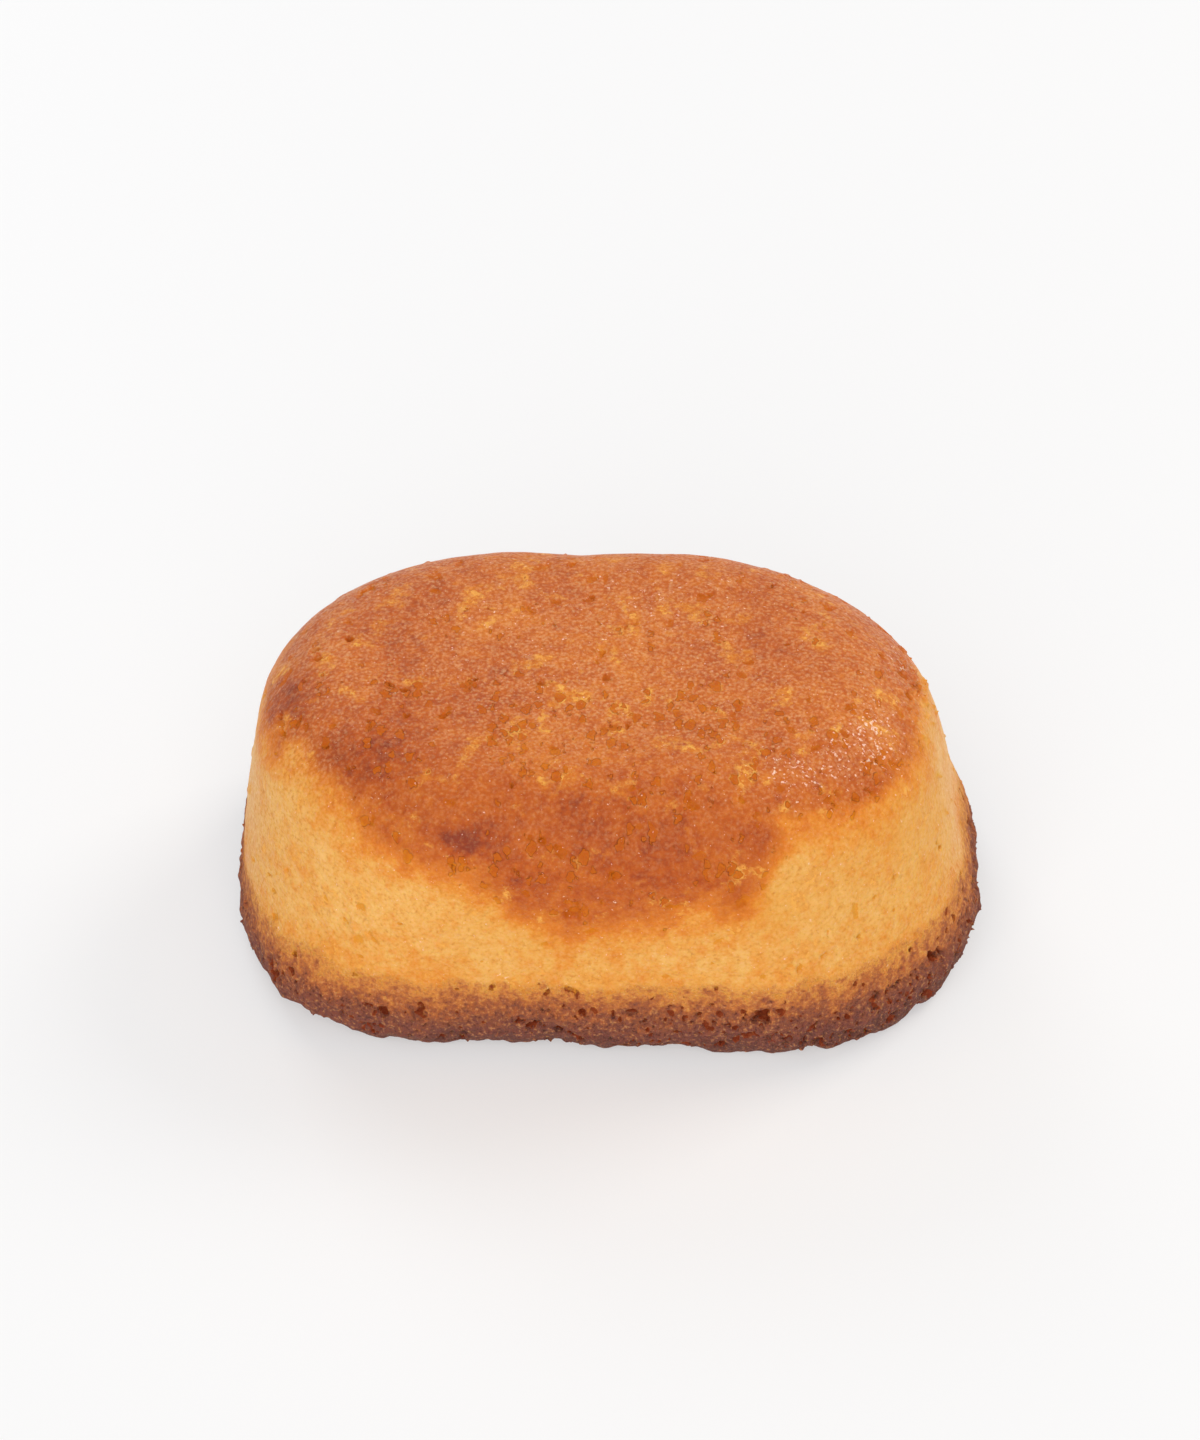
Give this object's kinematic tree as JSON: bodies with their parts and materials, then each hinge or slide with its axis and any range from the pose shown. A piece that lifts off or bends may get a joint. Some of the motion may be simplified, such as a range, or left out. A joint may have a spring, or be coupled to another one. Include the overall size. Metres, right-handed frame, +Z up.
{
  "type": "lemon cake",
  "caption": "Small individual lemon cake: a loaf with wide round corners, a browned crown, pale golden sides and a dark baked lip, resting on its flat base.",
  "frame": {"origin": "centre of the flat base, where the cake rests on a plate or table", "axes": "+X along the cake's length, -Y towards its front long side, +Z up through the browned crown"},
  "size_m": [0.08, 0.0508, 0.0325],
  "materials": {
    "baked_crust": "satin"
  },
  "bodies": {
    "root": {"lemon_cake": "baked_crust"}
  },
  "joints": []
}
